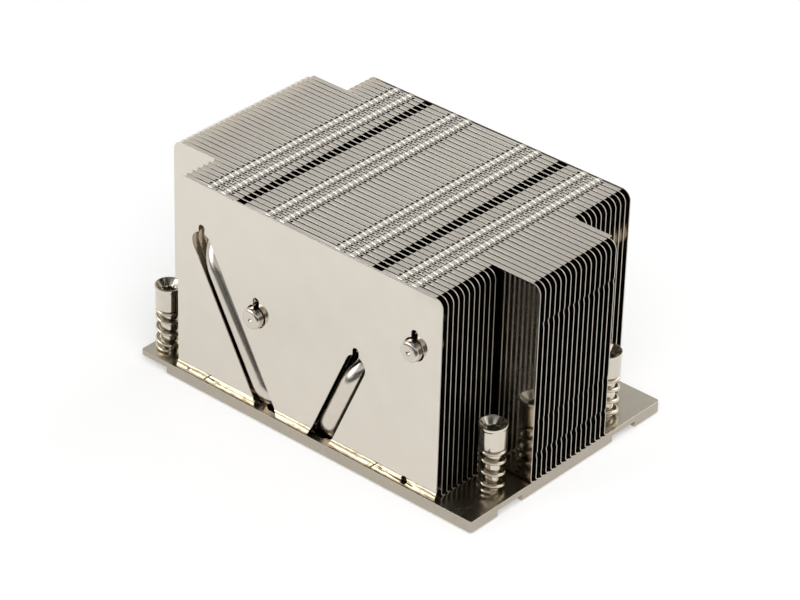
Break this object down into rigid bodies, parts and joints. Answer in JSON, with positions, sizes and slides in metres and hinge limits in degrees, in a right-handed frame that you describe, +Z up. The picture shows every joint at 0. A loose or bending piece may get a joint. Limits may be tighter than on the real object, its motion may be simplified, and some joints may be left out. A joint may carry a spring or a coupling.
{
  "type": "processor heatsink",
  "caption": "Passive server processor heatsink: folded fin stack on a plated base with slanted heat pipes and spring-loaded captive screws at the corners.",
  "frame": {"origin": "middle of the contact face that rests on the processor", "axes": "+X along the fins and the airflow, +Y across the stack towards the back, +Z up away from the processor; the front face with the two slanted slots looks to -Y"},
  "size_m": [0.118, 0.0796, 0.064],
  "materials": {
    "plated_base": "satin nickel plating",
    "plated_fins": "satin nickel plating",
    "plated_pipes": "bright nickel plating over copper",
    "screws": "turned, nickel plated",
    "springs": "drawn spring wire",
    "clips": "pressed spring steel"
  },
  "bodies": {
    "heatsink": {"base_plate": "plated_base", "fin_01": "plated_fins", "fin_02": "plated_fins", "fin_03": "plated_fins", "fin_04": "plated_fins", "fin_05": "plated_fins", "fin_06": "plated_fins", "fin_07": "plated_fins", "fin_08": "plated_fins", "fin_09": "plated_fins", "fin_10": "plated_fins", "fin_11": "plated_fins", "fin_12": "plated_fins", "fin_13": "plated_fins", "fin_14": "plated_fins", "fin_15": "plated_fins", "fin_16": "plated_fins", "fin_17": "plated_fins", "fin_18": "plated_fins", "fin_19": "plated_fins", "fin_20": "plated_fins", "fin_21": "plated_fins", "fin_22": "plated_fins", "fin_23": "plated_fins", "fin_24": "plated_fins", "fin_25": "plated_fins", "fin_26": "plated_fins", "fin_27": "plated_fins", "fin_28": "plated_fins", "fin_29": "plated_fins", "fin_30": "plated_fins", "fin_31": "plated_fins", "fin_32": "plated_fins", "fin_33": "plated_fins", "fin_34": "plated_fins", "fin_35": "plated_fins", "fin_36": "plated_fins", "fin_37": "plated_fins", "fin_38": "plated_fins", "heat_pipe_front_outer": "plated_pipes", "heat_pipe_front_inner": "plated_pipes", "heat_pipe_back_outer": "plated_pipes", "heat_pipe_back_inner": "plated_pipes", "spring_front_left": "springs", "spring_front_right": "springs", "spring_back_right": "springs", "spring_back_left": "springs"},
    "retainer_front_left": {"clip_front_left": "clips"},
    "captive_screw_front_left": {"screw_front_left": "screws"},
    "retainer_front_right": {"clip_front_right": "clips"},
    "captive_screw_front_right": {"screw_front_right": "screws"},
    "retainer_back_right": {"clip_back_right": "clips"},
    "captive_screw_back_right": {"screw_back_right": "screws"},
    "retainer_back_left": {"clip_back_left": "clips"},
    "captive_screw_back_left": {"screw_back_left": "screws"}
  },
  "joints": [
    {"name": "press_front_left", "type": "slide", "parent": "heatsink", "child": "retainer_front_left", "axis": [0, 0, 1], "range_m": [-0.005, 0], "stiffness_N_per_m": 12000, "springref_m": 0.001, "deforming": ["spring_front_left"]},
    {"name": "turn_front_left", "type": "hinge", "parent": "retainer_front_left", "child": "captive_screw_front_left", "pos_m": [-0.0542, -0.0327, 0.014], "axis": [0, 0, 1], "continuous": true},
    {"name": "press_front_right", "type": "slide", "parent": "heatsink", "child": "retainer_front_right", "axis": [0, 0, 1], "range_m": [-0.005, 0], "stiffness_N_per_m": 12000, "springref_m": 0.001, "deforming": ["spring_front_right"]},
    {"name": "turn_front_right", "type": "hinge", "parent": "retainer_front_right", "child": "captive_screw_front_right", "pos_m": [0.0523, -0.0234, 0.014], "axis": [0, 0, 1], "continuous": true},
    {"name": "press_back_right", "type": "slide", "parent": "heatsink", "child": "retainer_back_right", "axis": [0, 0, 1], "range_m": [-0.005, 0], "stiffness_N_per_m": 12000, "springref_m": 0.001, "deforming": ["spring_back_right"]},
    {"name": "turn_back_right", "type": "hinge", "parent": "retainer_back_right", "child": "captive_screw_back_right", "pos_m": [0.0523, 0.0234, 0.014], "axis": [0, 0, 1], "continuous": true},
    {"name": "press_back_left", "type": "slide", "parent": "heatsink", "child": "retainer_back_left", "axis": [0, 0, 1], "range_m": [-0.005, 0], "stiffness_N_per_m": 12000, "springref_m": 0.001, "deforming": ["spring_back_left"]},
    {"name": "turn_back_left", "type": "hinge", "parent": "retainer_back_left", "child": "captive_screw_back_left", "pos_m": [-0.0542, 0.0327, 0.014], "axis": [0, 0, 1], "continuous": true}
  ]
}
